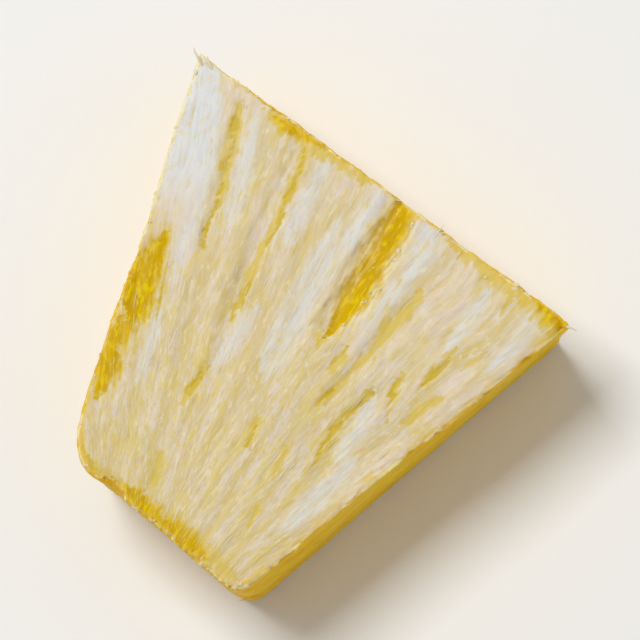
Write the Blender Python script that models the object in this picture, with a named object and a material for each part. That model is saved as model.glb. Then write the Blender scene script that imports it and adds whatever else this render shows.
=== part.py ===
"""A cut pineapple chunk: one wedge of a peeled crosswise slice, lying on its lower slice face.

Metres. +Z is up and +Y runs along the fruit's radius, from the core side to the rind side.
The origin is the middle of the foot, in the middle of the wedge's box.
"""

import math

import bmesh
import bpy
from mathutils import Matrix, Vector, noise

MM = 0.001

# Upper slice face, between the knife's four straight cuts
RIND_WIDTH = 46.4 * MM
CORE_WIDTH = 22.0 * MM
RADIAL_LENGTH = 39.6 * MM
RIND_SKEW = math.radians(-3.9)
CORE_SKEW = math.radians(-5.6)
THICKNESS = 15.0 * MM

# How far each foot corner lies from the upper corner above it: no hand cut is quite upright
FOOT_SHIFT = {
    "rind_left": Vector((-0.9, -0.7)) * MM,
    "rind_right": Vector((-3.4, -0.5)) * MM,
    "core_right": Vector((-1.9, 0.4)) * MM,
    "core_left": Vector((-0.9, 0.4)) * MM,
}

# Rounding of the rims round both slice faces, and of the four upright edges
RIM_RADIUS = 0.5 * MM
EDGE_RADIUS = {
    "rind_left": 0.35 * MM,
    "rind_right": 0.5 * MM,
    "core_right": 2.0 * MM,
    "core_left": 3.4 * MM,
}

# Spacing of the skin's grid, finest across the fibres
ACROSS_STEP = 0.6 * MM
ALONG_STEP = 1.5 * MM
UP_STEP = 2.0 * MM

# The fibres fan out from the fruit's axis, which this point marks
CORE_AXIS = Vector((4.5, -38.0)) * MM
FAN_RADIUS = 50.0 * MM

# Fibre ridges that stand out of every cut face
RIDGE_HEIGHT = 0.16 * MM
RIDGE_PITCH = 1.9 * MM
RIDGE_LENGTH = 15.0 * MM

# The knife's wander, which leaves no cut quite flat
WANDER_HEIGHT = 0.30 * MM
WANDER_LENGTH = 11.0 * MM

# Furrows torn along the fibres of the upper face: rind end, core end, width and depth
FURROWS = (
    (Vector((2.1, 19.6)) * MM, Vector((3.3, 5.6)) * MM, 2.9 * MM, 0.75 * MM),
    (Vector((-9.9, 20.4)) * MM, Vector((-5.7, 0.4)) * MM, 1.6 * MM, 0.30 * MM),
    (Vector((-17.2, 21.0)) * MM, Vector((-11.6, 5.7)) * MM, 1.5 * MM, 0.25 * MM),
    (Vector((8.6, 13.8)) * MM, Vector((7.4, -0.3)) * MM, 1.7 * MM, 0.25 * MM),
    (Vector((-15.9, 2.9)) * MM, Vector((-14.0, -3.2)) * MM, 2.8 * MM, 0.40 * MM),
    (Vector((10.7, 2.1)) * MM, Vector((10.4, -7.4)) * MM, 1.5 * MM, 0.30 * MM),
)

# What the peeler left of the eyes in the rind side: place along it, height, radius and depth
EYE_PITS = (
    (-13.5 * MM, 10.0 * MM, 2.8 * MM, 0.9 * MM),
    (1.0 * MM, 5.2 * MM, 3.2 * MM, 1.1 * MM),
    (15.2 * MM, 10.4 * MM, 2.6 * MM, 0.8 * MM),
)

# A flake missing from the upper rim of the core side
NICK_PLACE = Vector((-5.6, -19.3, THICKNESS / MM)) * MM
NICK_RADIUS = 1.9 * MM
NICK_DEPTH = 0.9 * MM

FLESH_COLOUR = (0.80, 0.62, 0.22, 1.0)
FLESH_ROUGHNESS = 0.38

MEAN_WIDTH = (RIND_WIDTH + CORE_WIDTH) / 2


def clear_scene():
    for obj in list(bpy.data.objects):
        bpy.data.objects.remove(obj)


def flesh_material():
    material = bpy.data.materials.new("pineapple_flesh")
    material.use_nodes = True
    shader = material.node_tree.nodes["Principled BSDF"]
    shader.inputs["Base Color"].default_value = FLESH_COLOUR
    shader.inputs["Roughness"].default_value = FLESH_ROUGHNESS
    shader.inputs["Metallic"].default_value = 0.0
    return material


def smooth_step(share):
    share = min(max(share, 0.0), 1.0)
    return share * share * (3 - 2 * share)


def upper_corners():
    """The four corners of the upper slice face, where the straight cuts would meet."""
    corners = {}
    for side, y, width, skew in (
        ("rind", RADIAL_LENGTH / 2, RIND_WIDTH, RIND_SKEW),
        ("core", -RADIAL_LENGTH / 2, CORE_WIDTH, CORE_SKEW),
    ):
        along = Vector((math.cos(skew), math.sin(skew)))
        corners[side + "_left"] = Vector((0, y)) - along * width / 2
        corners[side + "_right"] = Vector((0, y)) + along * width / 2
    return corners


def graded(length, step, near_rims):
    """Shares of a length: close together near both ends, then even steps in between."""
    inner = near_rims[-1]
    count = max(1, round((length - 2 * inner) / step))
    middle = [inner + (length - 2 * inner) * k / count for k in range(count + 1)]
    places = list(near_rims[:-1]) + middle + [length - x for x in reversed(near_rims[:-1])]
    return [place / length for place in places]


def sliced_box(across, along, up):
    """A unit box whose skin is a grid, cut by planes at these shares of its three sides."""
    bm = bmesh.new()
    bmesh.ops.create_cube(bm, size=1.0, matrix=Matrix.Translation((0.5, 0.5, 0.5)))
    for normal, shares in (((1, 0, 0), across), ((0, 1, 0), along), ((0, 0, 1), up)):
        for share in shares[1:-1]:
            bmesh.ops.bisect_plane(
                bm,
                geom=bm.verts[:] + bm.edges[:] + bm.faces[:],
                plane_co=Vector(normal) * share,
                plane_no=normal,
                dist=1e-7,
            )
    return bm


def with_round_rims(x, y, z):
    """Moves a point of the plain box's skin onto the rounding of its upper and lower rims."""
    inset = min(x, MEAN_WIDTH - x, y, RADIAL_LENGTH - y)
    drop = min(z, THICKNESS - z)
    if inset >= RIM_RADIUS or drop >= RIM_RADIUS:
        return x, y, z
    reach = math.hypot(RIM_RADIUS - inset, RIM_RADIUS - drop)
    new_inset = RIM_RADIUS * (1 - (RIM_RADIUS - inset) / reach)
    new_drop = RIM_RADIUS * (1 - (RIM_RADIUS - drop) / reach)
    new_x = new_inset + (x - inset) * (MEAN_WIDTH - 2 * new_inset) / (MEAN_WIDTH - 2 * inset)
    new_y = new_inset + (y - inset) * (RADIAL_LENGTH - 2 * new_inset) / (RADIAL_LENGTH - 2 * inset)
    return new_x, new_y, new_drop if z < THICKNESS / 2 else THICKNESS - new_drop


def with_round_edges(x, y):
    """Rounds the plan's nearest corner, ring by ring, so that the grid stays even inside it."""
    left, core = x < MEAN_WIDTH / 2, y < RADIAL_LENGTH / 2
    name = ("core" if core else "rind") + ("_left" if left else "_right")
    radius = EDGE_RADIUS[name]
    dx = radius - (x if left else MEAN_WIDTH - x)
    dy = radius - (y if core else RADIAL_LENGTH - y)
    if dx <= 0 or dy <= 0:
        return x, y
    pull = max(dx, dy) / math.hypot(dx, dy)
    new_x = radius - dx * pull
    new_y = radius - dy * pull
    return (new_x if left else MEAN_WIDTH - new_x), (new_y if core else RADIAL_LENGTH - new_y)


def place_in_wedge(share, corners):
    """The wedge's point for a point of the unit box: rounded first, then spread over the corners."""
    x, y, z = with_round_rims(
        share.x * MEAN_WIDTH, share.y * RADIAL_LENGTH, share.z * THICKNESS
    )
    x, y = with_round_edges(x, y)
    s, t, height = x / MEAN_WIDTH, y / RADIAL_LENGTH, z / THICKNESS
    now = {
        name: corner + FOOT_SHIFT[name] * (1 - height) for name, corner in corners.items()
    }
    core_side = now["core_left"].lerp(now["core_right"], s)
    rind_side = now["rind_left"].lerp(now["rind_right"], s)
    return core_side.lerp(rind_side, t).to_3d() + Vector((0, 0, z))


def fibre_ridge(point):
    """Height of the fibre ridges at a point: long along the fruit's radius, narrow across it."""
    arm = point.xy - CORE_AXIS
    turned = math.atan2(arm.x, arm.y) * FAN_RADIUS
    return RIDGE_HEIGHT * noise.noise(
        Vector((turned / RIDGE_PITCH, arm.length / RIDGE_LENGTH, point.z / RIDGE_PITCH))
    )


def knife_wander(point):
    return WANDER_HEIGHT * noise.noise(point / WANDER_LENGTH + Vector((3.7, 1.3, 5.1)))


def furrow_depth(point):
    """Depth of the torn furrows at a point of the upper face."""
    deepest = 0.0
    for rind_end, core_end, width, depth in FURROWS:
        line = core_end - rind_end
        along = (point.xy - rind_end).dot(line) / line.length_squared
        gap = (point.xy - rind_end - line * min(max(along, 0.0), 1.0)).length
        across = 1 - (2 * gap / width) ** 2
        if across > 0:
            deepest = max(deepest, depth * smooth_step(across))
    return deepest


def bowl(gap, radius, depth):
    """Depth of a round hollow at this distance from its middle."""
    return depth * max(0.0, 1 - (gap / radius) ** 2) ** 1.5


def pit_depth(point):
    """Depth of the eye pits at a point of the rind side."""
    return sum(
        bowl(math.hypot(point.x - along, point.z - height), radius, depth)
        for along, height, radius, depth in EYE_PITS
    )


def carve_relief(bm):
    """Moves the skin along its normals: ridges and wander all over, hollows where they lie."""
    bm.normal_update()
    moves = {}
    for vert in bm.verts:
        point, normal = vert.co, vert.normal
        height = fibre_ridge(point) + knife_wander(point)
        height -= furrow_depth(point) * max(0.0, normal.z) ** 2
        height -= pit_depth(point) * max(0.0, normal.y) ** 2
        above_foot = smooth_step(point.z / (3 * RIM_RADIUS))
        moves[vert] = normal * height * above_foot
        moves[vert].y += bowl((point - NICK_PLACE).length, NICK_RADIUS, NICK_DEPTH)
    for vert, move in moves.items():
        vert.co += move


def flatten_foot(bm):
    """The foot is one flat face, with the box's middle over the origin."""
    foot = [face for face in bm.faces if all(v.co.z < 1e-7 for v in face.verts)]
    bmesh.ops.dissolve_faces(bm, faces=foot)
    low = Vector([min(v.co[axis] for v in bm.verts) for axis in range(3)])
    high = Vector([max(v.co[axis] for v in bm.verts) for axis in range(3)])
    middle = (low + high) / 2
    bmesh.ops.translate(bm, verts=bm.verts, vec=(-middle.x, -middle.y, -low.z))


def pineapple_chunk():
    round_steps = (0.0, RIM_RADIUS / 2, RIM_RADIUS)
    corner_steps = round_steps + (1.3 * MM, 2.3 * MM, max(EDGE_RADIUS.values()))
    bm = sliced_box(
        graded(MEAN_WIDTH, ACROSS_STEP, round_steps),
        graded(RADIAL_LENGTH, ALONG_STEP, corner_steps),
        graded(THICKNESS, UP_STEP, round_steps),
    )
    corners = upper_corners()
    for vert in bm.verts:
        vert.co = place_in_wedge(vert.co, corners)
    carve_relief(bm)
    flatten_foot(bm)
    mesh = bpy.data.meshes.new("pineapple_chunk")
    bm.to_mesh(mesh)
    bm.free()
    mesh.shade_smooth()
    mesh.materials.append(flesh_material())
    return bpy.data.objects.new("pineapple_chunk", mesh)


def main():
    clear_scene()
    fruit = bpy.data.collections.new("cut_pineapple")
    bpy.context.scene.collection.children.link(fruit)
    fruit.objects.link(pineapple_chunk())


main()
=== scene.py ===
# %% [markdown]
# # A chunk of cut pineapple
#
# The object is one wedge from a peeled, crosswise slice of pineapple. A knife made every face of it.
# The two slice faces show pale flesh whose fibres fan out from the fruit's core, with yellow streaks
# where juice collects. The side cuts are a deeper yellow, and the rims are frayed.
#
# The wedge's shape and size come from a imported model, which this script loads and keeps still.
# The script adds what the eye reads as fruit: fibres in relief, torn furrows, loose strands, crumbs
# on the rims, and a moist, translucent surface.

import math
from types import SimpleNamespace

import bmesh
import bpy
from mathutils import Matrix, Vector


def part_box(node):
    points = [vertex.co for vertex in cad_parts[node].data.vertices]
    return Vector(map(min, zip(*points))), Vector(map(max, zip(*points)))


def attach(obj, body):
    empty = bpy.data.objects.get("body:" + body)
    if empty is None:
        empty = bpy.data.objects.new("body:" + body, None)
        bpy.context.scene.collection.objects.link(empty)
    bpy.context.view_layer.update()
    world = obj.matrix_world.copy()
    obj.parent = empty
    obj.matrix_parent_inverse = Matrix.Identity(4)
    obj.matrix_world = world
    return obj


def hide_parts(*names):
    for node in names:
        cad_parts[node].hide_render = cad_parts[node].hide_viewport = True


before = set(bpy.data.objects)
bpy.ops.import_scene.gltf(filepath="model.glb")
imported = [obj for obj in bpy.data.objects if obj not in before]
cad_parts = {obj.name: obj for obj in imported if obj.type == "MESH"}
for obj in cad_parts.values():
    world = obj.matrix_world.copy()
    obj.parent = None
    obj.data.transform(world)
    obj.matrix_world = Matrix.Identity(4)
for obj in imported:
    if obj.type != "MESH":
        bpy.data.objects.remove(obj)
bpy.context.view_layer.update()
LOW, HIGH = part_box("pineapple_chunk")
MM = 0.001
print("the wedge in mm:", [round(side / MM, 1) for side in HIGH - LOW])

# %% [markdown]
# ## The camera
#
# The camera looks almost straight down on the upper slice face. Three turns aim it: how far it leans,
# which way it leans, and how the picture is rolled. A long lens from almost half a metre away keeps
# the straight cuts straight.

# %% Camera
LEAN = math.radians(16.0)
LEAN_TOWARDS = math.radians(-16.9)
ROLL = math.radians(50.4)
CAMERA_DISTANCE = 450 * MM
PICTURE_WIDTH = 61.4 * MM
AIM = Vector((2.9, 5.3, 0.0)) * MM + Vector((0, 0, HIGH.z))


def new_object(name, data):
    """An object that shows this data, linked to the scene."""
    made = bpy.data.objects.new(name, data)
    bpy.context.scene.collection.objects.link(made)
    return made


camera_data = bpy.data.cameras.new("camera")
camera_data.sensor_width = 36.0
camera_data.lens = camera_data.sensor_width * CAMERA_DISTANCE / PICTURE_WIDTH
camera_data.clip_start = 0.01
camera = new_object("camera", camera_data)
turned = (
    Matrix.Rotation(LEAN_TOWARDS, 3, "Z")
    @ Matrix.Rotation(LEAN, 3, "Y")
    @ Matrix.Rotation(ROLL, 3, "Z")
)
RIGHT, UP, BACK = turned.transposed()
camera.location = AIM + BACK * CAMERA_DISTANCE
camera.rotation_euler = turned.to_euler()
bpy.context.scene.camera = camera
print("lens in mm:", round(camera_data.lens))

# %% [markdown]
# ## Floor and light
#
# Fruit is photographed in soft light so that its wet skin shows broad, quiet highlights. One large
# area light stands high on the picture's upper left. A weak one on the right and a pale world fill
# the shade. The floor is plain and pale, so it throws light back into the sides.

# %% Floor and lights
FLOOR_COLOUR = (0.93, 0.93, 0.92, 1.0)
WORLD_COLOUR = (1.0, 0.97, 0.90, 1.0)
WORLD_STRENGTH = 0.33
FLOOR_SIZE = 3.0
FLOOR_GAP = 0.02 * MM


def principled(name, **values):
    """A new material and its Principled shader, with values set on the shader's own sockets."""
    material = bpy.data.materials.new(name)
    material.use_nodes = True
    shader = material.node_tree.nodes["Principled BSDF"]
    for socket, value in values.items():
        shader.inputs[socket.replace("_", " ")].default_value = value
    return material, shader


bpy.ops.mesh.primitive_plane_add(size=FLOOR_SIZE, location=(0, 0, -FLOOR_GAP))
floor = bpy.context.object
floor.name = "floor"
floor.data.materials.append(principled("floor", Base_Color=FLOOR_COLOUR, Roughness=0.7)[0])


def soft_light(name, place, size, watts):
    """A square area light that faces the chunk."""
    light = bpy.data.lights.new(name, "AREA")
    light.size = size
    light.energy = watts
    lamp = new_object(name, light)
    lamp.location = AIM + place
    lamp.rotation_euler = (-place).to_track_quat("-Z", "Y").to_euler()


soft_light("key", RIGHT * -0.40 + UP * 0.45 + BACK * 0.70, size=0.42, watts=5.6)
soft_light("fill", RIGHT * 0.6 + UP * -0.1 + BACK * 0.7, size=0.7, watts=0.6)

world = bpy.data.worlds.new("studio")
world.use_nodes = True
world.node_tree.nodes["Background"].inputs["Color"].default_value = WORLD_COLOUR
world.node_tree.nodes["Background"].inputs["Strength"].default_value = WORLD_STRENGTH
bpy.context.scene.world = world
bpy.context.scene.view_settings.view_transform = "Standard"
print("lamps:", bpy.data.lights.keys())

# %% [markdown]
# ## Small helpers for node trees
#
# Both the shape and the finish are node trees built in code. A tree is easier to read when a node is
# one line, so these helpers add a node, set its sockets and return what it puts out. A socket knows
# the tree that it is in, so sums need not be told.

# %% Node helpers
SOCKET_TYPES = {float: "Float", int: "Int", tuple: "Vector"}
SOCKET_WORDS = {
    "geometry": "Geometry",
    "object": "Object",
    "material": "Material",
    "colour": "Color",
    "name": "String",
}


def new_tree(name, kind, inputs, outputs):
    """A node tree with named sockets. Each is given as a word or as the value it starts from."""
    tree = bpy.data.node_groups.new(name, kind)
    for in_out, sockets in (("INPUT", inputs), ("OUTPUT", outputs)):
        for socket_name, start in sockets.items():
            socket_type = "NodeSocket" + (SOCKET_WORDS.get(start) or SOCKET_TYPES[type(start)])
            socket = tree.interface.new_socket(socket_name, in_out=in_out, socket_type=socket_type)
            if not isinstance(start, str):
                socket.default_value = start
    given = tree.nodes.new("NodeGroupInput").outputs
    result = tree.nodes.new("NodeGroupOutput").inputs
    return tree, given, result


def feed(socket, value):
    """Sets a socket to a value, or links another node's output to it."""
    if isinstance(value, bpy.types.NodeSocket):
        socket.id_data.links.new(value, socket)
    else:
        socket.default_value = value


def add(tree, kind, inputs=None, **settings):
    """Adds a node with these settings and inputs."""
    node = tree.nodes.new(kind)
    for name, value in settings.items():
        setattr(node, name, value)
    for socket, value in (inputs or {}).items():
        feed(node.inputs[socket], value)
    return node


def out(tree, kind, inputs=None, **settings):
    """Adds a node and returns its first output."""
    return add(tree, kind, inputs, **settings).outputs[0]


def tree_of(values):
    """The tree of the first socket among these values."""
    return next(value.id_data for value in values if isinstance(value, bpy.types.NodeSocket))


def maths(operation, *values):
    """One sum on numbers that change over the surface."""
    inputs = dict(enumerate(values))
    return out(tree_of(values), "ShaderNodeMath", inputs, operation=operation)


def product(first, *others):
    """Several numbers multiplied together."""
    for other in others:
        first = maths("MULTIPLY", first, other)
    return first


def vectors(operation, *values):
    """One sum on vectors that change over the surface."""
    inputs = dict(enumerate(values))
    node = add(tree_of(values), "ShaderNodeVectorMath", inputs, operation=operation)
    return node.outputs["Value" if operation in ("LENGTH", "DISTANCE", "DOT_PRODUCT") else "Vector"]


def scaled(vector, size):
    """A vector made longer or shorter."""
    inputs = {0: vector, "Scale": size}
    return out(vector.id_data, "ShaderNodeVectorMath", inputs, operation="SCALE")


def parts_of(vector):
    """The three numbers of a vector."""
    return add(vector.id_data, "ShaderNodeSeparateXYZ", {0: vector}).outputs


def spread(value, low, high, new_low=0.0, new_high=1.0):
    """Spreads the range from low to high, smoothly, over a new range, and clamps what lies outside."""
    inputs = {0: value, 1: low, 2: high, 3: new_low, 4: new_high}
    smooth = {"interpolation_type": "SMOOTHSTEP"}
    return out(value.id_data, "ShaderNodeMapRange", inputs, **smooth)


def group(tree, inner, **inputs):
    """Places a node group in a tree and returns its outputs."""
    kind = "GeometryNodeGroup" if tree.bl_idname == "GeometryNodeTree" else "ShaderNodeGroup"
    node = add(tree, kind, node_tree=inner)
    for name, value in inputs.items():
        feed(node.inputs[name.replace("_", " ")], value)
    return node.outputs


# %% [markdown]
# ## Noise that follows the fibres
#
# Pineapple fibres run straight out from the core, so a pattern on them needs its own coordinates:
# how far round the core, how far out from it, and how high. They are called the fan here, and are
# measured in millimetres. Noise that is squeezed across the fan and stretched along it makes ridges,
# streaks and grain alike. The same two groups serve the shape and the finish, so that a furrow and
# its colour tear in the same places.

# %% Fibre noise
CORE_AXIS = Vector((4.99, -38.26, 0.0)) * MM
FAN_RADIUS = 50.0
FIBRE_REACH = 2.6


def fibre_noise_group(kind):
    """Noise along the fibres, from 0 to 1, with its width and length in millimetres."""
    start = {"Fan": (0.0, 0.0, 0.0), "Width": 1.0, "Length": 10.0, "Detail": 2.0, "Shift": 0.0}
    tree, given, result = new_tree("fibre noise", kind, start, {"Factor": 0.0})
    sizes = {0: given["Width"], 1: given["Length"], 2: given["Width"]}
    size = out(tree, "ShaderNodeCombineXYZ", sizes)
    moved = vectors("ADD", vectors("DIVIDE", given["Fan"], size), given["Shift"])
    noise = add(tree, "ShaderNodeTexNoise", {"Vector": moved, "Scale": 1.0, "Detail": given["Detail"]})
    feed(result["Factor"], noise.outputs[0])
    return tree


def pattern(fibres, fan, width, length, detail, shift):
    """Noise along the fibres, made by one of the noise groups."""
    sizes = {"Width": width, "Length": length, "Detail": detail, "Shift": shift}
    return group(fan.id_data, fibres, Fan=fan, **sizes)["Factor"]


def torn_group(kind, fibres):
    """A soft mask torn along the fibres: the raggedness says how far single fibres reach past it."""
    start = {"Mask": 0.0, "Fan": (0.0, 0.0, 0.0), "Raggedness": 0.5, "Softness": 0.12}
    tree, given, result = new_tree("torn mask", kind, start, {"Factor": 0.0})
    threads = pattern(fibres, given["Fan"], 0.34, 3.0, 3.0, 13.0)
    bits = pattern(fibres, given["Fan"], 0.7, 0.9, 2.0, 31.0)
    tear = maths("ADD", product(threads, 0.6), product(bits, 0.4))
    reach = product(maths("SUBTRACT", tear, 0.5), given["Raggedness"], FIBRE_REACH)
    inner = maths("ADD", 0.5, given["Softness"])
    outer = maths("SUBTRACT", 0.5, given["Softness"])
    torn = spread(maths("ADD", given["Mask"], reach), outer, inner)
    near = spread(given["Mask"], 0.02, 0.2)
    feed(result["Factor"], product(torn, near))
    return tree


def torn_along(tearing, fan, mask, raggedness, softness=0.12):
    """A mask with its border torn along the fibres, by one of the tearing groups."""
    edge = {"Mask": mask, "Raggedness": raggedness, "Softness": softness}
    return group(fan.id_data, tearing, Fan=fan, **edge)["Factor"]


SHAPE_FIBRES = fibre_noise_group("GeometryNodeTree")
FINISH_FIBRES = fibre_noise_group("ShaderNodeTree")
SHAPE_TORN = torn_group("GeometryNodeTree", SHAPE_FIBRES)
FINISH_TORN = torn_group("ShaderNodeTree", FINISH_FIBRES)
print("the core's axis in mm:", [round(side, 2) for side in CORE_AXIS / MM])

# %% [markdown]
# ## Marks on the upper face
#
# No rule gives the streaks of this very chunk, so they are drawn as short strokes, the way a
# retoucher would paint them. A stroke is a row of points, and each is read from the photograph as a
# pixel and a half width. Strokes of one sort share a list.

# %% Strokes
JUICE_FURROWS = (
    ((360.5, 333.5, 4.6), (353.5, 347, 5.6), (346, 360, 5), (341, 370, 5.6), (334, 379, 4)),
)
JUICE_STAINS = (
    ((261, 351, 2.6), (257, 358, 5.2), (253.5, 366, 7), (251.5, 374, 7.2), (250, 380, 4.6)),
    ((243, 390, 4.4), (241.5, 396, 6), (240, 401, 4.4)),
    ((251, 450.5, 2.2), (259, 458.5, 3), (262, 461, 2.8)),
    ((269.5, 466.5, 3.4), (273.5, 471, 3.6), (276, 473, 2.6)),
    ((416, 376, 2.4), (421, 382, 4)),
    ((312, 302.5, 2.2), (319, 306.5, 3.4)),
)
THIN_LINES = (
    ((292, 300, 0.9), (289, 314, 1), (286, 328, 1), (281, 342, 0.8), (278, 351, 0.7)),
    ((319, 314, 0.9), (315, 327, 1), (310, 340, 0.9), (304, 352, 0.8)),
    ((297, 367, 1.5), (291, 377, 1.8)),
    ((330, 410, 1.2), (327, 414, 1)),
    ((376, 398, 1.2), (371.3, 402.8, 1.4), (368, 406, 0.9)),
    ((356.8, 404, 0.8), (354.7, 411, 1.1), (352.4, 417, 0.7)),
    ((347, 410, 0.7), (339.8, 416, 0.8), (333, 422.7, 0.8), (325, 433.9, 0.7)),
    ((277, 403, 1.2), (274, 408, 1.4)),
    ((228, 430, 1.1), (236, 441, 1.2)),
    ((382, 352, 0.8), (380, 356, 0.7)),
    ((336, 392, 0.7), (329, 401, 0.8)),
    ((300, 424, 0.7), (297, 432, 0.7)),
)
SOFT_STREAKS = (
    ((293, 297, 2.2), (289, 318, 2.8), (286, 330, 2), (281, 343, 1.4)),
    ((321, 308, 3.4), (318, 318, 2.8), (313, 332, 2.4), (306, 346, 1.8), (299, 360, 1.6), (294, 372, 2.4)),
    ((308, 300, 2.6), (317, 306, 4.6), (330, 315, 2.6), (344, 325, 1.8)),
    ((356, 335, 1.4), (346, 351, 1.6), (339, 362, 1.6), (333, 372, 1.8)),
    ((329, 384, 2.4), (326, 389, 1.8)),
    ((364.7, 371.5, 2), (359.7, 378, 2.8), (351.4, 386.2, 3.2), (346.4, 393.7, 2)),
    ((345, 395, 1.6), (339.8, 399.5, 1.8), (333, 407, 1.8), (328.4, 411, 2.2)),
    ((378, 395, 1.6), (368, 406, 1.8)),
    ((357.5, 404, 1.2), (353, 418, 1.4)),
    ((346, 409, 1.1), (335, 421, 1.6), (325, 435, 1.5)),
    ((371, 414, 1.8), (362, 420, 2)),
    ((389, 396, 1.4), (385, 399, 1.4)),
    ((279, 400, 1.8), (273, 410, 2.2)),
    ((300, 422, 1.6), (298, 426, 1.6)),
    ((311, 435, 1.8), (309, 440, 1.6)),
    ((261, 437, 1.8), (259, 444, 1.8)),
    ((300, 456, 1.2), (297, 463, 1.2)),
    ((335, 396, 1.2), (331, 401, 1.2)),
    ((263, 348, 3), (257, 362, 6.4), (250, 380, 5), (243, 397, 5.8), (240, 405, 2.5)),
    ((236.8, 388.4, 1.2), (231.9, 409.5, 1.6), (227.7, 424.9, 2.4), (227, 431.9, 3.2)),
    ((227.5, 432.5, 3.2), (234, 440.3, 3.4), (243.2, 445.3, 3)),
    ((247, 449, 3), (262, 459, 3.6), (275, 469, 3.8), (290, 482, 2.6)),
    ((380, 351, 2.2), (391, 359.5, 3.2), (402, 368, 3.6), (411, 374, 3.8), (421, 381, 4.2)),
    ((403, 371, 1.2), (399, 379, 1.2)),
    ((424, 386, 3.2), (414, 396, 2.8), (398, 410, 2.6), (380, 426, 2.4), (360, 444, 2.4), (340, 462, 2.6)),
    ((338, 464, 2.6), (320, 478, 2.4), (304, 487, 2.6)),
)
# The smooth band is pale flesh, and its white is partly a painted sheen.
PALE_SHEEN_BAND = (
    ((281, 281, 5.5), (277.5, 300, 8.8), (273, 318, 9.8), (268, 334, 9), (263, 343, 5)),
)
PALE_BANDS = (
    ((366, 342, 3.4), (369, 350, 5.4), (365, 358, 4.2), (358, 369, 3)),
    ((350, 332, 3.4), (340, 346, 4.6), (328, 358, 4.4), (320, 372, 4), (313, 388, 3.4), (306, 400, 2.4)),
    ((411, 379, 3.6), (405, 389, 4.4), (397, 397, 3.2)),
    ((328, 320, 3.2), (321, 331, 3.4), (314, 346, 2.8)),
    ((345, 416, 3.4), (341, 425, 4), (335, 434, 3.2)),
    ((334, 442, 4), (322, 455, 4), (314, 462, 2.6)),
    ((299, 304, 3), (296, 322, 3.4), (291, 338, 2.6)),
    ((296, 382, 3.2), (288, 393, 3.2)),
    ((280, 322, 4), (274, 340, 4.6), (270, 356, 3.2)),
    ((352, 372, 3), (345, 384, 2.6)),
    ((390, 374, 2.8), (380, 388, 2.8)),
    ((332, 344, 2.4), (316, 370, 3), (305, 394, 3)),
    ((262, 372, 2.2), (259, 388, 2.6), (254, 402, 2.2)),
    ((336, 470, 2.8), (326, 478, 2.4)),
)
CRUMB_ROWS = (
    ((367, 333, 2), (361, 343, 2.4), (358, 352, 2.4), (352, 362, 2.4), (346, 372, 2.4), (336, 383, 2.4)),
    ((297, 289, 2), (296, 296, 1.6)),
    ((392, 363, 1.6), (394, 365, 1.6)),
)


# %% [markdown]
# The camera turns a pixel into a place: the ray through it meets the upper face there. The strokes
# become curves, which the shape's tree measures distances to. Each end gets a fine point, because
# the mark of a fibre thins out and never stops bluntly.

# %% From a pixel to a curve
PHOTO_MIDDLE = (326.0, 381.0)
PHOTO_PIXEL = 0.24 * MM
POINT_LENGTH = 2.6
POINT_WIDTH = 0.15


def on_face(x, y):
    """The place on the upper slice face that shows at this pixel of the photograph."""
    right = RIGHT * (x - PHOTO_MIDDLE[0]) * PHOTO_PIXEL
    down = UP * (PHOTO_MIDDLE[1] - y) * PHOTO_PIXEL
    ray = AIM + right + down - camera.location
    return camera.location + ray * ((HIGH.z - camera.location.z) / ray.z)


def with_points(stroke):
    """The stroke with a fine point at either end, a little longer than the stroke is wide there."""
    ends = []
    for (place, half_width), (neighbour, _) in (stroke[:2], stroke[:-3:-1]):
        away = (place - neighbour).normalized()
        ends.append((place + away * half_width * POINT_LENGTH, half_width * POINT_WIDTH))
    return [ends[0], *stroke, ends[1]]


def drawn(name, strokes):
    """Strokes as one curve object, whose points keep their half widths as radii."""
    curve = bpy.data.curves.new(name, "CURVE")
    curve.dimensions = "3D"
    for stroke in map(with_points, strokes):
        spline = curve.splines.new("POLY")
        spline.points.add(len(stroke) - 1)
        for point, (place, half_width) in zip(spline.points, stroke):
            point.co = (*place, 1.0)
            point.radius = half_width
    return new_object(name, curve)


def drawn_on_face(name, strokes):
    """Strokes whose points are pixels, as one curve object on the upper face."""
    placed = [[(on_face(x, y), half * PHOTO_PIXEL) for x, y, half in stroke] for stroke in strokes]
    return drawn(name, placed)


# %% [markdown]
# The peeler left shallow pits in the rind side where the fruit's eyes were. They are drawn the same
# way, as short strokes across each pit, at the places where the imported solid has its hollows.

# %% Eye strokes
EYE_PITS = ((-13.0, 10.0, 1.4), (1.5, 5.2, 1.8), (15.7, 10.4, 1.2))
EYE_HALF_LENGTH = 0.6
EYE_DEPTH = 1.2 * MM
EYE_FLOOR = Vector((0, HIGH.y - EYE_DEPTH, 0))


def eye_stroke(along, up, half_width):
    """A short slanting stroke across one pit, placed along X and up Z in millimetres."""
    shifts = (-EYE_HALF_LENGTH, EYE_HALF_LENGTH)
    ends = [Vector((along + shift, 0.0, up - shift / 2)) * MM for shift in shifts]
    return [(end + EYE_FLOOR, half_width * MM) for end in ends]


MARKS = {
    "deep": drawn_on_face("juice_furrows", JUICE_FURROWS),
    "stain": drawn_on_face("juice_stains", JUICE_STAINS),
    "line": drawn_on_face("thin_lines", THIN_LINES),
    "soft": drawn_on_face("soft_streaks", SOFT_STREAKS),
    "smooth": drawn_on_face("smooth_band", PALE_SHEEN_BAND),
    "pale": drawn_on_face("pale_bands", PALE_BANDS),
    "crumby": drawn_on_face("crumb_rows", CRUMB_ROWS),
    "eye": drawn("eyes", [eye_stroke(*pit) for pit in EYE_PITS]),
}
print("strokes:", {name: len(made.data.splines) for name, made in MARKS.items()})

# %% [markdown]
# ## How near a point is to a stroke
#
# The curves are cut into close points. For each point of the skin, the nearest of them gives a
# distance and a half width. Their share makes a soft mask: 1 on the stroke's middle, a half at its
# border and 0 at twice its half width.

# %% Stroke mask
STROKE_STEP = 0.15 * MM


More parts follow.
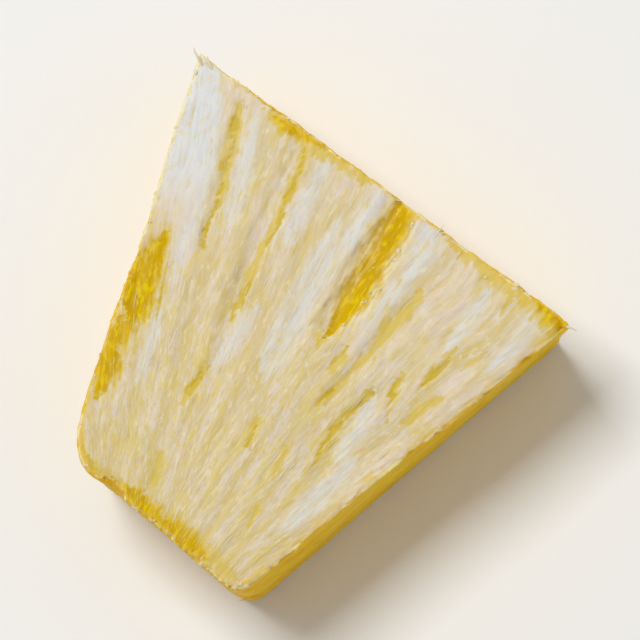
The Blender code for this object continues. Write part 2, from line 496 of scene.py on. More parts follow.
def stroke_mask_group():
    """How near a place is to the strokes of one object, from 0 to 1."""
    tree, given, result = new_tree(
        "stroke mask",
        "GeometryNodeTree",
        {"Strokes": "object", "Place": (0.0, 0.0, 0.0), "Measured along": (1.0, 1.0, 1.0)},
        {"Mask": 0.0},
    )
    curves = add(tree, "GeometryNodeObjectInfo", {"Object": given["Strokes"]}).outputs["Geometry"]
    points = add(
        tree, "GeometryNodeCurveToPoints", {"Curve": curves, "Length": STROKE_STEP}, mode="LENGTH"
    ).outputs["Points"]
    place = out(tree, "GeometryNodeInputPosition")
    level = vectors("MULTIPLY", place, given["Measured along"])
    flat = out(tree, "GeometryNodeSetPosition", {"Geometry": points, "Position": level})
    here = vectors("MULTIPLY", given["Place"], given["Measured along"])
    inputs = {"Geometry": flat, "Sample Position": here}
    nearest = out(tree, "GeometryNodeSampleNearest", inputs)

    def sampled(value, data_type):
        sources = {"Geometry": flat, "Value": value, "Index": nearest}
        return out(tree, "GeometryNodeSampleIndex", sources, data_type=data_type)

    gap = vectors("DISTANCE", here, sampled(place, "FLOAT_VECTOR"))
    half_width = sampled(out(tree, "GeometryNodeInputRadius"), "FLOAT")
    share = maths("DIVIDE", gap, maths("MULTIPLY", half_width, 2.0))
    mask = maths("MAXIMUM", maths("SUBTRACT", 1.0, share), 0.0)
    feed(result["Mask"], mask)
    return tree


STROKE_MASK = stroke_mask_group()
print("nodes in the stroke mask:", len(STROKE_MASK.nodes))

# %% [markdown]
# ## The flesh
#
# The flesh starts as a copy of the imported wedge, remeshed into small even squares so that there is
# something to carve. A geometry tree then does what knife and fibres do. Its first part stores what
# it knows about each point of the skin as named attributes: the fan, which skin is a slice face, and
# how near each rim and each sort of stroke is. The finish reads them too, because painting a furrow
# yellow works only if both agree where the furrow is.
#
# Nothing here has a ruled border. The fan sways a little, as real fibres do, and noise shakes the
# places at which the strokes are looked up.

# %% What the skin knows about itself
WAVE_SIZE = 9.0 * MM
WAVE_SWAY = 2.0
SHAKE_SIZE = (0.5, 1.6, 0.5)
STROKE_SHAKE = 1.5 * MM
RIM_BLURS = {"rim": 5, "border": 26}


def store(tree, geometry, name, value, data_type="FLOAT"):
    """Stores a value on every point of the skin, under a name that the finish can read."""
    kept = {"Geometry": geometry, "Name": name}
    node = add(tree, "GeometryNodeStoreNamedAttribute", kept, data_type=data_type, domain="POINT")
    feed(node.inputs["Value"], value)
    return node.outputs[0]


def read(tree, name, data_type="FLOAT"):
    """Reads a stored value back."""
    node = add(tree, "GeometryNodeInputNamedAttribute", {"Name": name}, data_type=data_type)
    return node.outputs["Attribute"]


def arm_of(place, core_axis):
    """The level line from the core's axis to a place."""
    arm = parts_of(vectors("SUBTRACT", place, core_axis))
    return out(place.id_data, "ShaderNodeCombineXYZ", {0: arm[0], 1: arm[1]})


def fan_of(place, core_axis):
    """The fan's coordinates of a place: round the core, out from it and up, in millimetres."""
    arm = arm_of(place, core_axis)
    sides = parts_of(arm)
    turn = product(maths("ARCTAN2", sides[0], sides[1]), FAN_RADIUS * MM)
    fan = {0: turn, 1: vectors("LENGTH", arm), 2: parts_of(place)[2]}
    fan = out(place.id_data, "ShaderNodeCombineXYZ", fan)
    return vectors("DIVIDE", fan, (MM, MM, MM))


def shake(where, size):
    """Noise as a small push to any side. Its pattern is about as large as the given size."""
    inputs = {"Vector": vectors("DIVIDE", where, size), "Scale": 1.0}
    noise = add(where.id_data, "ShaderNodeTexNoise", inputs).outputs[1]
    return vectors("SUBTRACT", noise, (0.5, 0.5, 0.5))


# %% Storing the fan, the rims and the strokes


def with_fan(tree, skin, given, place):
    """Stores the fan's coordinates, with their sway."""
    waves = {"Vector": scaled(place, 1 / WAVE_SIZE), "Scale": 1.0, "Detail": 1.0}
    wave = out(tree, "ShaderNodeTexNoise", waves)
    sway = product(maths("SUBTRACT", wave, 0.5), WAVE_SWAY)
    sideways = out(tree, "ShaderNodeCombineXYZ", {0: sway})
    fan = vectors("ADD", fan_of(place, given["Core axis"]), sideways)
    return store(tree, skin, "fan", fan, "FLOAT_VECTOR")


def with_rims(tree, skin, normal):
    """Stores which skin is a slice face. Blurred, that is a half on a rim and 0 or 1 away from it."""
    steepness = maths("ABSOLUTE", parts_of(normal)[2])
    skin = store(tree, skin, "slice", spread(steepness, 0.55, 0.85))
    for name, times in RIM_BLURS.items():
        blurring = {"Value": read(tree, "slice"), "Iterations": times}
        soft = out(tree, "GeometryNodeBlurAttribute", blurring)
        other = maths("SUBTRACT", 1.0, soft)
        skin = store(tree, skin, name, product(soft, other, 4.0))
    return skin


def with_strokes(tree, skin, given, place, normal):
    """Stores how near each sort of stroke is. Only the smooth band has a calm border, and it alone
    also shows on the side cut below it."""
    push = shake(read(tree, "fan", "FLOAT_VECTOR"), SHAKE_SIZE)
    shaken_place = vectors("ADD", place, scaled(push, STROKE_SHAKE))
    facing = parts_of(normal)
    upward = spread(facing[2], 0.3, 0.8)
    outward = spread(facing[1], 0.3, 0.8)
    for name in MARKS:
        on_rind = name == "eye"
        mask = group(
            tree,
            STROKE_MASK,
            Strokes=given[name],
            Place=place if name == "smooth" else shaken_place,
            Measured_along=(1.0, 1.0, 1.0) if on_rind else (1.0, 1.0, 0.0),
        )["Mask"]
        if name != "smooth":
            mask = product(mask, outward if on_rind else upward)
        skin = store(tree, skin, name, mask)
    return skin


# %% [markdown]
# Where loose strands and crumbs may lie is a mask as well. Strands lie where the knife ran along the
# fibres, so not on the rind and core sides, where it crossed them, and not on the smooth pale band.
# Crumbs gather on the rims and on the ragged side of the widest furrow.

# %% Where loose things lie


def with_loose_places(tree, skin, given, place, normal):
    """Stores where strands, frays and crumbs may lie."""
    arm = vectors("NORMALIZE", arm_of(place, given["Core axis"]))
    across = maths("ABSOLUTE", vectors("DOT_PRODUCT", arm, normal))
    along_cut = spread(across, 0.35, 0.6, 1.0, 0.0)
    covered = maths("MAXIMUM", read(tree, "smooth"), read(tree, "deep"))
    clear_of_marks = spread(covered, 0.2, 0.5, 1.0, 0.0)
    above_foot = spread(parts_of(place)[2], 1.0 * MM, 2.5 * MM)
    clear_of_rim = spread(read(tree, "border"), 0.2, 0.7, 1.0, 0.0)
    strands = product(along_cut, clear_of_marks, above_foot, clear_of_rim)
    skin = store(tree, skin, "strands", strands)
    rims = spread(read(tree, "rim"), 0.5, 0.9)
    skin = store(tree, skin, "frayed", product(rims, above_foot))
    fan = read(tree, "fan", "FLOAT_VECTOR")
    heaps = spread(pattern(SHAPE_FIBRES, fan, 2.6, 2.6, 1.0, 21.0), 0.40, 0.62)
    on_rims = product(rims, above_foot, heaps)
    in_rows = spread(read(tree, "crumby"), 0.35, 0.7, 0.0, 0.6)
    return store(tree, skin, "crumbs", maths("MAXIMUM", on_rims, in_rows))


# %% [markdown]
# ## Carving
#
# The second part of the tree moves the skin by a sum of masks and patterns, each times a height. They
# plough fibre ridges along the fan, tear furrows and lines where the strokes lie, open small cells,
# chip the rims and sink the eyes in the rind side. The heights are the tree's named inputs, so each
# can be tried alone. The foot is cut into but never raised, so that the chunk still lies flat.

# %% Relief
RELIEF = {
    "Ridge height": 0.15 * MM,
    "Flake height": 0.13 * MM,
    "Grain height": 0.08 * MM,
    "Furrow depth": 0.14 * MM,
    "Lip height": 0.03 * MM,
    "Line depth": 0.12 * MM,
    "Streak depth": 0.05 * MM,
    "Eye depth": 0.45 * MM,
    "Cell depth": 0.20 * MM,
    "Side ridge height": 0.28 * MM,
    "Rim wear depth": 0.38 * MM,
}


def relief_shares(tree):
    """How much of each height or depth a point of the skin takes."""
    fan = read(tree, "fan", "FLOAT_VECTOR")

    def fibres(*sizes):
        return maths("SUBTRACT", pattern(SHAPE_FIBRES, fan, *sizes), 0.5)

    def torn(name, *edge):
        return torn_along(SHAPE_TORN, fan, read(tree, name), *edge)

    off_band = spread(read(tree, "smooth"), 0.3, 0.6, 1.0, 0.2)
    rough = product(off_band, spread(read(tree, "deep"), 0.05, 0.3, 1.0, 0.4))
    wall = maths("SUBTRACT", 1.0, read(tree, "slice"))
    furrow = torn("deep", 0.35, 0.35)
    beside_furrow = maths("SUBTRACT", 1.0, furrow)
    cells = spread(fibres(0.9, 2.6, 1.0, 3.0), 0.06, 0.2)
    chips = spread(fibres(1.0, 1.3, 3.0, 11.0), -0.02, 0.2)
    return {
        "Ridge height": product(fibres(1.3, 9.0, 2.0, 0.0), rough),
        "Flake height": product(fibres(0.8, 2.4, 2.0, 6.0), rough),
        "Grain height": product(fibres(0.6, 1.4, 2.0, 7.0), rough),
        "Furrow depth": furrow,
        "Lip height": product(spread(read(tree, "deep"), 0.12, 0.36), beside_furrow),
        "Line depth": torn("line", 0.6),
        "Streak depth": torn("soft", 1.1),
        "Eye depth": torn("eye", 0.4),
        "Cell depth": product(cells, maths("ADD", product(wall, 0.3), 0.2)),
        "Side ridge height": product(fibres(0.8, 7.0, 2.0, 41.0), wall),
        "Rim wear depth": product(chips, read(tree, "rim")),
    }


# %% The tree that carves the flesh


def moved(geometry, offset):
    """The geometry with its points moved."""
    inputs = {"Geometry": geometry, "Offset": offset}
    return out(geometry.id_data, "GeometryNodeSetPosition", inputs)


def finished(tree, geometry, material):
    """The last steps of a tree: the geometry is shaded smooth, made real and given a material."""
    smooth = out(tree, "GeometryNodeSetShadeSmooth", {0: geometry})
    real = out(tree, "GeometryNodeRealizeInstances", {"Geometry": smooth})
    coat = {"Geometry": real, "Material": material}
    return out(tree, "GeometryNodeSetMaterial", coat)


def carve_tree():
    """The whole carving tree: it stores the masks, then moves the skin by the sum of the reliefs."""
    sockets = {
        "Geometry": "geometry",
        **{name: "object" for name in MARKS},
        "Core axis": (0.0, 0.0, 0.0),
        **RELIEF,
        "Material": "material",
    }
    kind = "GeometryNodeTree"
    tree, given, result = new_tree("carve flesh", kind, sockets, {"Geometry": "geometry"})
    place = out(tree, "GeometryNodeInputPosition")
    normal = out(tree, "GeometryNodeInputNormal")
    skin = with_fan(tree, given["Geometry"], given, place)
    skin = with_rims(tree, skin, normal)
    skin = with_strokes(tree, skin, given, place, normal)
    skin = with_loose_places(tree, skin, given, place, normal)

    lift = 0.0
    for name, share in relief_shares(tree).items():
        move = maths("MULTIPLY", share, given[name])
        lift = maths("ADD" if name.endswith("height") else "SUBTRACT", lift, move)
    in_foot = spread(parts_of(place)[2], 0.1 * MM, 0.5 * MM, 1.0, 0.0)
    sunk = maths("MINIMUM", lift, 0.0)
    lift = out(tree, "ShaderNodeMix", {0: in_foot, 2: lift, 3: sunk}, data_type="FLOAT")

    skin = moved(skin, scaled(normal, lift))
    feed(result["Geometry"], finished(tree, skin, given["Material"]))
    return tree


CARVE = carve_tree()
print("nodes in the carving tree:", len(CARVE.nodes))

# %% [markdown]
# ## The finish of the flesh
#
# Cut pineapple is moist, translucent and never one colour. The slice faces are cream and rose white,
# with white bands and thin yellow lines along the fibres; the smooth band's white is partly a painted
# sheen. The side cuts are a deep yellow with paler fibres, because there the knife ran through the
# juicy outer flesh. Light that enters a thin rim comes out warmer, so the rims get a painted glow and
# a bright painted highlight line of their own. Juice fills the furrow and stains the rims.
#
# The colours are laid over each other like thin coats of paint, each with its own share of the skin.
# They are one shader group: the flesh and the loose pieces all place it, each with its own paleness.

# %% Flesh colours


def seen(red, green, blue):
    """A colour as it looks on a screen, from 0 to 255, turned into the light that a shader needs."""
    shares = [part / 255 for part in (red, green, blue)]
    linear = [((s + 0.055) / 1.055) ** 2.4 if s > 0.04 else s / 12.92 for s in shares]
    return (*linear, 1.0)


CREAM = seen(223, 206, 166)
ROSE_WHITE = seen(231, 217, 198)
BUTTER = seen(226, 208, 134)
HONEY = seen(218, 194, 112)
# WHITE_AND_SHEEN is the white of the pale bands, and on the smooth band it is also a painted sheen.
WHITE_AND_SHEEN = seen(228, 229, 229)
SOFT_YELLOW = seen(224, 198, 84)
JUICE_YELLOW = seen(220, 181, 0)
JUICE_AMBER = seen(210, 169, 0)
BRIGHT_JUICE = seen(233, 204, 4)
LINE_OLIVE = seen(216, 187, 52)
JUICE_HALO = seen(232, 206, 104)
SIDE_AMBER = seen(242, 182, 0)
SIDE_GOLD = seen(246, 195, 2)
SIDE_PALE = seen(250, 214, 62)
SIDE_CREAM = seen(246, 222, 150)
SIDE_DEEP = seen(226, 160, 0)
# Painted light: RIM_HIGHLIGHT_CREAM is a painted highlight along the cut rims, and RIM_GLOW_YELLOW a
# painted glow of light coming out through the thin rims.
RIM_HIGHLIGHT_CREAM = seen(252, 238, 186)
RIM_GLOW_YELLOW = seen(236, 196, 78)
EYE_BROWN = seen(138, 84, 18)
THREAD_LIGHT = seen(240, 230, 204)
print("cream as light:", [round(part, 2) for part in CREAM])

# %% [markdown]
# The masks on the skin and the patterns of noise that vary the colours are gathered once, under plain
# names. A pattern is given by its width and length in millimetres, its detail, and a shift that makes
# it unlike the others. Near the rind the rose bands grow wider.

# %% Masks and patterns
MASKS = ("slice", "rim", "border", "deep", "stain", "line", "soft", "smooth", "pale", "eye")
PATTERNS = {
    "bands": (2.2, 10.0, 2.0, 0.0),
    "blotches": (1.4, 3.4, 2.0, 5.0),
    "wisps": (0.6, 6.0, 2.0, 9.0),
    "threads": (0.3, 2.4, 2.0, 2.0),
    "cells": (0.6, 2.0, 2.0, 17.0),
    "clouds": (7.0, 10.0, 1.0, 4.0),
    "specks": (0.45, 1.1, 2.0, 23.0),
    "ticks": (0.32, 0.8, 1.0, 51.0),
}


def mix(share, one, other):
    """A blend of two colours."""
    inputs = {0: share, 6: one, 7: other}
    return add(tree_of(inputs.values()), "ShaderNodeMix", inputs, data_type="RGBA").outputs[2]


def painted(ground, *coats):
    """A colour with others laid over it in turn, each given as its share and its colour."""
    for share, colour in coats:
        ground = mix(share, ground, colour)
    return ground


def attribute(tree, name):
    """What a stored attribute holds, as the finish reads it."""
    return add(tree, "ShaderNodeAttribute", attribute_name=name, attribute_type="GEOMETRY").outputs


def gathered(tree):
    """The masks on the skin and the patterns along its fibres, by name."""
    fan = attribute(tree, "fan")["Vector"]
    _, outward, upward = parts_of(fan)
    found = {name: attribute(tree, name)["Fac"] for name in MASKS}
    for name, sizes in PATTERNS.items():
        found[name] = pattern(FINISH_FIBRES, fan, *sizes)
    near_rind = spread(outward, 34.0, 50.0)
    found["bands"] = maths("ADD", found["bands"], product(near_rind, 0.06))
    return SimpleNamespace(fan=fan, out=outward, up=upward, near_rind=near_rind, **found)


def torn(skin, mask, *edge):
    """A mask of the skin, torn as the shape is."""
    return torn_along(FINISH_TORN, skin.fan, mask, *edge)


# %% Colours of the slice faces


def plain_face(skin):
    """Cream and rose flesh with butter blotches, yellow wisps, honey specks and pale grains."""
    near_core = maths("SUBTRACT", 1.0, skin.near_rind)
    buttery = maths("ADD", product(skin.near_rind, -0.35), 0.7)
    streaky = maths("ADD", product(skin.near_rind, 0.25), 0.12)
    honeyed = maths("ADD", product(near_core, 0.22), 0.20)
    return painted(
        mix(spread(skin.bands, 0.42, 0.62), CREAM, ROSE_WHITE),
        (product(spread(skin.blotches, 0.46, 0.66), buttery), BUTTER),
        (product(spread(skin.wisps, 0.52, 0.68), streaky), SOFT_YELLOW),
        (product(spread(skin.specks, 0.54, 0.68), honeyed), HONEY),
        (product(spread(skin.ticks, 0.56, 0.66), near_core, 0.4), SOFT_YELLOW),
        (product(spread(skin.specks, 0.44, 0.30), 0.55), THREAD_LIGHT),
    )


def smooth_band(skin):
    """The share and the colour of the smooth band, pale flesh whose white is partly a painted sheen; it
    turns rosy and fades towards the core.
    """
    fringe = product(maths("SUBTRACT", skin.wisps, 0.5), 0.3)
    inside = spread(maths("ADD", skin.smooth, fringe), 0.30, 0.66)
    share = product(inside, spread(skin.out, 45.5, 50.0))
    return share, mix(spread(skin.out, 47.0, 55.0), ROSE_WHITE, WHITE_AND_SHEEN)


def juice(skin):
    """Amber and yellow juice with brighter specks."""
    ground = mix(spread(skin.blotches, 0.42, 0.62), JUICE_AMBER, JUICE_YELLOW)
    return mix(spread(skin.specks, 0.50, 0.66), ground, BRIGHT_JUICE)


def marked_face(skin):
    """The slice faces with every sort of stroke on them. Juice lies on top, in a paler border."""
    whitish = spread(skin.wisps, 0.35, 0.55, 0.4, 0.85)
    broken = spread(skin.threads, 0.36, 0.52, 0.3, 0.95)
    frayed = spread(skin.specks, 0.36, 0.50, 0.5, 1.0)
    round_furrow = maths("ADD", skin.deep, 0.2)
    round_stain = maths("ADD", skin.stain, 0.15)
    wet = juice(skin)
    return painted(
        plain_face(skin),
        (product(torn(skin, skin.pale, 0.9, 0.45), whitish), WHITE_AND_SHEEN),
        (product(torn(skin, skin.soft, 0.9, 0.35), 0.8), SOFT_YELLOW),
        (product(torn(skin, skin.line, 1.0, 0.25), broken), LINE_OLIVE),
        smooth_band(skin),
        (product(spread(skin.deep, 0.06, 0.22), frayed, 0.85), THREAD_LIGHT),
        (product(torn(skin, round_furrow, 0.5, 0.35), 0.75), JUICE_HALO),
        (torn(skin, skin.deep, 0.5, 0.25), wet),
        (torn(skin, round_stain, 0.8, 0.45), SOFT_YELLOW),
        (torn(skin, skin.stain, 0.8, 0.42), wet),
    )


# %% Colours of the sides, the rims and the eyes


def side_cuts(skin):
    """Amber and gold sides with paler fibres, and a cream patch below the smooth band's end."""
    near_face = spread(skin.up, 11.0, 15.0)
    below_band = product(spread(skin.smooth, 0.1, 0.4), near_face)
    return painted(
        mix(spread(skin.clouds, 0.32, 0.66), SIDE_AMBER, SIDE_GOLD),
        (product(spread(skin.bands, 0.46, 0.70), 0.45), SIDE_PALE),
        (product(spread(skin.wisps, 0.50, 0.66), 0.40), SIDE_PALE),
        (product(spread(skin.wisps, 0.46, 0.30), 0.30), SIDE_DEEP),
        (product(spread(skin.threads, 0.58, 0.72), 0.35), SIDE_PALE),
        (product(torn(skin, below_band, 1.2, 0.3), 0.85), SIDE_CREAM),
    )


def with_rims_and_eyes(skin, colour):
    """Adds a painted glow along the rims, a painted highlight line on the rims, and the brown flecks of
    the eyes.
    """
    blotchy = spread(skin.blotches, 0.42, 0.60)
    off_band = spread(skin.smooth, 0.0, 0.2, 1.0, 0.0)
    # Painted glow: light coming out through the thin flesh near the rims.
    rim_glow = product(spread(skin.border, 0.45, 0.95), blotchy, 0.6, off_band)
    on_band = spread(skin.smooth, 0.0, 0.2)
    lit = maths("MAXIMUM", spread(skin.blotches, 0.47, 0.57), on_band)
    juicy = spread(maths("MAXIMUM", skin.deep, skin.stain), 0.15, 0.45, 0.8, 0.15)
    # The rim line is a painted highlight, creamier where the flesh is blotchy or on the smooth band.
    line = product(spread(skin.rim, 0.55, 0.95), juicy)
    flecks = product(spread(skin.eye, 0.45, 0.75), spread(skin.cells, 0.52, 0.60))
    return painted(
        colour,
        (rim_glow, RIM_GLOW_YELLOW),
        (line, mix(lit, RIM_GLOW_YELLOW, RIM_HIGHLIGHT_CREAM)),
        (product(spread(skin.eye, 0.2, 0.8), 0.5), SIDE_DEEP),
        (product(flecks, 0.85), EYE_BROWN),
    )


# %% The finish as one group


def flesh_finish_group():
    """Colour, roughness, wetness and fine relief of the flesh."""
    tree, given, result = new_tree(
        "flesh finish",
        "ShaderNodeTree",
        {"Paleness": 0.0},
        {"Color": "colour", "Roughness": 0.0, "Wetness": 0.0, "Relief": 0.0},
    )
    skin = gathered(tree)
    edge = maths("ADD", skin.slice, product(skin.threads, 0.6))
    face = spread(edge, 0.6, 1.1)
    colour = mix(face, side_cuts(skin), marked_face(skin))
    colour = with_rims_and_eyes(skin, colour)
    colour = mix(product(given["Paleness"], skin.slice), colour, THREAD_LIGHT)
    # The colour is a little darker where the threads pattern, which also raises the bump, lies low:
    # painted shade in the fine grooves.
    shade = spread(skin.threads, 0.28, 0.62, 0.95, 1.02)
    feed(result["Color"], scaled(colour, shade))
    feed(result["Roughness"], spread(skin.threads, 0.3, 0.7, 0.38, 0.58))

    wall = maths("SUBTRACT", 1.0, skin.slice)
    film = maths("ADD", product(wall, 0.06), 0.06)
    film = maths("ADD", film, product(spread(skin.deep, 0.3, 0.6), 0.14))
    feed(result["Wetness"], product(film, spread(skin.clouds, 0.35, 0.6, 0.5, 1.5)))
    feed(result["Relief"], maths("ADD", skin.threads, product(skin.specks, 1.2)))
    return tree


FLESH_FINISH = flesh_finish_group()
print("nodes in the finish:", len(FLESH_FINISH.nodes))

# %% [markdown]
# The shader itself stays simple. Light enters the flesh a little and comes out warmer, a thin film
# of juice shines as a coat, and the finish group feeds the rest. The small loose pieces are too thin
# for light to travel in, so they get none of that translucency.

# %% Flesh material


def flesh_material(name, paleness, bump_height, translucency):
    """Moist fruit flesh, as pale, rough and translucent as this piece of it is."""
    material, shader = principled(
        name,
        Subsurface_Weight=translucency,
        Subsurface_Scale=1.2 * MM,
        Subsurface_Radius=(1.0, 0.8, 0.25),
        IOR=1.36,
        Specular_IOR_Level=0.08,
        Coat_Roughness=0.12,
        Coat_IOR=1.34,
    )
    tree = material.node_tree
    finish = group(tree, FLESH_FINISH, Paleness=paleness)
    feed(shader.inputs["Base Color"], finish["Color"])
    feed(shader.inputs["Roughness"], finish["Roughness"])
    feed(shader.inputs["Coat Weight"], finish["Wetness"])
    relief = {"Height": finish["Relief"], "Distance": bump_height, "Strength": 0.65}
    feed(shader.inputs["Normal"], out(tree, "ShaderNodeBump", relief))
    return material


FLESH = flesh_material("pineapple_flesh", paleness=0.0, bump_height=0.06 * MM, translucency=0.6)

# %% [markdown]
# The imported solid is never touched. Its copy is remeshed and carved by modifiers, then made a plain
# mesh, which takes the solid's place in the picture.

# %% The carved flesh
VOXEL = 0.24 * MM


def set_inputs(modifier, values):
    """Sets a tree's inputs on its modifier, by each socket's identifier."""
    for item in modifier.node_group.interface.items_tree:
        if item.in_out == "INPUT" and item.name in values:
            modifier[item.identifier] = values[item.name]


def made_plain(source, name):
    """The object with its modifiers worked out, as a plain mesh in a new object."""
    bpy.context.view_layer.update()
    worked_out = source.evaluated_get(bpy.context.evaluated_depsgraph_get())
    mesh = bpy.data.meshes.new_from_object(worked_out)
    mesh.name = name
    bpy.data.objects.remove(source)
    return new_object(name, mesh)


def small_object(name, bm):
    """A finished bmesh as an object of its own."""
    mesh = bpy.data.meshes.new(name)
    bm.to_mesh(mesh)
    bm.free()
    return new_object(name, mesh)


def merged_copy(node):
    """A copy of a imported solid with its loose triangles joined."""
    bm = bmesh.new()
    bm.from_mesh(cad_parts[node].data)
    bmesh.ops.remove_doubles(bm, verts=bm.verts, dist=0.001 * MM)
    return small_object(node + "_copy", bm)


def carved_flesh():
    """The wedge as even squares, carved by the tree, as one plain mesh."""
    source = merged_copy("pineapple_chunk")
    remesh = source.modifiers.new("even squares", "REMESH")
    remesh.mode = "VOXEL"
    remesh.voxel_size = VOXEL
    carve = source.modifiers.new("carve", "NODES")
    carve.node_group = CARVE
    set_inputs(carve, {**MARKS, "Core axis": CORE_AXIS, "Material": FLESH})
    return made_plain(source, "flesh")


flesh = carved_flesh()
for mark in MARKS.values():
    bpy.data.objects.remove(mark)
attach(flesh, "root")
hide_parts("pineapple_chunk")
print("the flesh has", len(flesh.data.polygons), "faces")

# %% [markdown]
# ## Loose strands, frays and crumbs
#
# A knife never cuts every fibre clean. Fine strands lie half loose along the cuts, short frays stand
# along the rims, and crumbs of flesh stick where it tore. Each kind is one small shape, and one
# geometry tree scatters all three: it drops points where a stored mask allows them, turns a copy to
# the fibres' direction at each, and bends every copy a little differently. Points keep the stored
# masks, so a strand that lies in a yellow streak is coloured like it.

# %% The tree that scatters


def scatter_tree():
    """The whole scattering tree."""
    sockets = {
        "Geometry": "geometry",
        "Piece": "object",
        "Where": "name",
        "Per square mm": 1.0,
        "Smallest": 0.7,
        "Largest": 1.3,
        "Turn": 0.2,
        "Lean": 0.1,
        "Lift": 0.0,
        "Bend": 0.05 * MM,
        "Bend size": 0.8 * MM,
        "Core axis": (0.0, 0.0, 0.0),
        "Seed": 1,
        "Material": "material",
    }
    kind = "GeometryNodeTree"
    tree, given, result = new_tree("scatter along fibres", kind, sockets, {"Geometry": "geometry"})

    def drawn_lots(low, high, shift):
        lots = {2: low, 3: high, 8: maths("ADD", given["Seed"], shift)}
        return add(tree, "FunctionNodeRandomValue", lots, data_type="FLOAT").outputs[1]

    density = product(read(tree, given["Where"]), given["Per square mm"], 1 / MM ** 2)
    drops = {"Mesh": given["Geometry"], "Density": density, "Seed": given["Seed"]}
    dropped = add(tree, "GeometryNodeDistributePointsOnFaces", drops)
    normal = dropped.outputs["Normal"]
    place = out(tree, "GeometryNodeInputPosition")
    arm = arm_of(place, given["Core axis"])
    along = out(
        tree, "FunctionNodeAxesToRotation", {0: normal, 1: arm}, primary_axis="Z", secondary_axis="Y"
    )
    turn = drawn_lots(maths("MULTIPLY", given["Turn"], -1.0), given["Turn"], 1)
    lean = drawn_lots(0.0, given["Lean"], 2)
    turned = out(tree, "ShaderNodeCombineXYZ", {0: lean, 2: turn})
    own = out(tree, "FunctionNodeEulerToRotation", {0: turned})
    rotation = out(tree, "FunctionNodeRotateRotation", {0: along, 1: own}, rotation_space="LOCAL")
    points = moved(dropped.outputs["Points"], scaled(normal, given["Lift"]))
    piece = add(tree, "GeometryNodeObjectInfo", {"Object": given["Piece"]}).outputs["Geometry"]
    size = drawn_lots(given["Smallest"], given["Largest"], 3)
    placed = {"Points": points, "Instance": piece, "Rotation": rotation, "Scale": size}
    copies = out(tree, "GeometryNodeInstanceOnPoints", placed)
    copies = out(tree, "GeometryNodeRealizeInstances", {"Geometry": copies})
    copies = moved(copies, scaled(shake(place, given["Bend size"]), given["Bend"]))
    feed(result["Geometry"], finished(tree, copies, given["Material"]))
    return tree


SCATTER = scatter_tree()
print("nodes in the scattering tree:", len(SCATTER.nodes))

# %% [markdown]
# The small shapes are balls with few faces, stretched, thinned and arched. A ball is closed from the
# start, so no copy shows a gap where it is pressed into the flesh.

# %% Small shapes to scatter
STRAND_FLATNESS = 0.5


def strand_shape(name, length, width, dive):
    """A closed strand along Y, fine at both ends, arched so that the ends dive into the flesh."""
    bm = bmesh.new()
    bmesh.ops.create_uvsphere(bm, u_segments=5, v_segments=7, radius=0.5)
    for vert in bm.verts:
        x, along, up = vert.co.x, vert.co.z, -vert.co.y
        fine = 1 - 2 * along * along
        height = up * width * fine * STRAND_FLATNESS - dive * (2 * along) ** 2
        vert.co = Vector((x * width * fine, along * length, height))
    return small_object(name, bm)


def fray_shape(name, length, width):
    """A closed wisp that grows from its root along Y and curls up at its fine tip."""
    bm = bmesh.new()
    bmesh.ops.create_uvsphere(bm, u_segments=5, v_segments=6, radius=0.5)
    for vert in bm.verts:
        x, along, up = vert.co.x, vert.co.z + 0.35, -vert.co.y
        fine = 1 - 0.75 * max(along, 0.0)
        height = up * width * fine + along * along * length * 0.3
        vert.co = Vector((x * width * fine, along * length, height))
    return small_object(name, bm)


def crumb_shape(name, size):
    """A closed grain, longer than it is wide."""
    bm = bmesh.new()
    bmesh.ops.create_icosphere(bm, subdivisions=2, radius=0.5)
    bmesh.ops.scale(bm, vec=(size, size * 1.3, size * 0.4), verts=bm.verts)
    return small_object(name, bm)


# %% Scattering
STRAND_FINISH = flesh_material("pineapple_strand", 0.3, bump_height=0.03 * MM, translucency=0.0)
CRUMB_FINISH = flesh_material("pineapple_crumb", 0.7, bump_height=0.02 * MM, translucency=0.0)


def scattered(name, piece, **values):
    """Scatters copies of a small shape over the flesh, as one plain mesh that rides with it."""
    source = new_object(name + "_source", flesh.data.copy())
    scatter = source.modifiers.new("scatter", "NODES")
    scatter.node_group = SCATTER
    common = {"Piece": piece, "Core axis": CORE_AXIS, "Material": STRAND_FINISH}
    named = {key.replace("_", " "): value for key, value in values.items()}
    set_inputs(scatter, {**common, **named})
    made = made_plain(source, name)
    bpy.data.objects.remove(piece)
    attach(made, "root")
    print(name, "has", len(made.data.polygons), "faces")


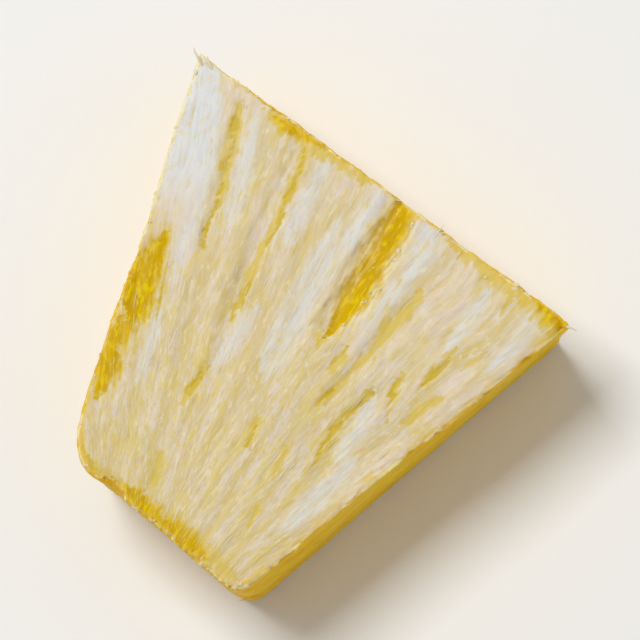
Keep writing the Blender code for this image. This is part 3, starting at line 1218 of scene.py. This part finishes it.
scattered(
    "strands",
    strand_shape("strand", length=2.2 * MM, width=0.18 * MM, dive=0.06 * MM),
    Where="strands", Per_square_mm=0.2, Smallest=0.5, Largest=1.3, Seed=11,
    Turn=0.12, Lean=0.0, Lift=-0.02 * MM, Bend=0.12 * MM, Bend_size=1.1 * MM,
)
scattered(
    "frays",
    fray_shape("fray", length=0.5 * MM, width=0.16 * MM),
    Where="frayed", Per_square_mm=1.2, Smallest=0.4, Largest=1.0, Seed=23,
    Turn=1.2, Lean=0.3, Lift=-0.05 * MM, Bend=0.12 * MM, Bend_size=0.4 * MM,
    Material=CRUMB_FINISH,
)
scattered(
    "crumbs",
    crumb_shape("crumb", size=0.40 * MM),
    Where="crumbs", Per_square_mm=2.0, Smallest=0.4, Largest=1.1, Seed=37,
    Turn=0.9, Lean=0.5, Bend=0.5 * MM, Bend_size=0.30 * MM,
    Material=CRUMB_FINISH,
)

# %% [markdown]
# ## Whiskers
#
# At the two sharp corners the knife pulled single fibres out past the flesh. They are drawn like the
# strokes, each point with its lift above the face in millimetres, but as curves with a round section,
# whose end caps a weld joins on. They have no skin to take masks from, so the two that matter are
# stored on them here.

# %% Whiskers
WHISKERS = (
    (
        (278.6, 278.6, 0.60, -0.4), (277.2, 276.0, 0.52, 0.0),
        (276.0, 273.8, 0.36, 0.2), (275.7, 272.4, 0.18, 0.1),
    ),
    ((282.6, 280.4, 0.50, -0.5), (281.4, 277.6, 0.42, -0.2), (280.9, 275.8, 0.22, -0.1)),
    ((423.0, 383.0, 0.50, -0.6), (426.0, 383.8, 0.36, -0.3), (428.0, 384.6, 0.16, -0.6)),
)


def above_face(x, y, half, lift):
    """A whisker's point as a place and a half width."""
    return on_face(x, y) + Vector((0, 0, lift)) * MM, half * PHOTO_PIXEL


def whiskers_piece(name):
    """All the whiskers as one plain mesh with the fan and the slice mask stored on it."""
    placed = [[above_face(*point) for point in stroke] for stroke in WHISKERS]
    curves = drawn(name + "_curves", placed)
    curves.data.bevel_depth = 1.0
    curves.data.bevel_resolution = 2
    curves.data.use_fill_caps = True
    curves.data.materials.append(CRUMB_FINISH)
    weld = curves.modifiers.new("weld", "WELD")
    weld.merge_threshold = 0.001 * MM
    whiskers = made_plain(curves, name)
    places = [vert.co / MM for vert in whiskers.data.vertices]
    fan = whiskers.data.attributes.new("fan", "FLOAT_VECTOR", "POINT")
    fan.data.foreach_set("vector", [number for place in places for number in place])
    sliced = whiskers.data.attributes.new("slice", "FLOAT", "POINT")
    sliced.data.foreach_set("value", [1.0] * len(places))
    whiskers.data.shade_smooth()
    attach(whiskers, "root")
    return whiskers


print("whiskers:", len(whiskers_piece("whiskers").data.polygons), "faces")
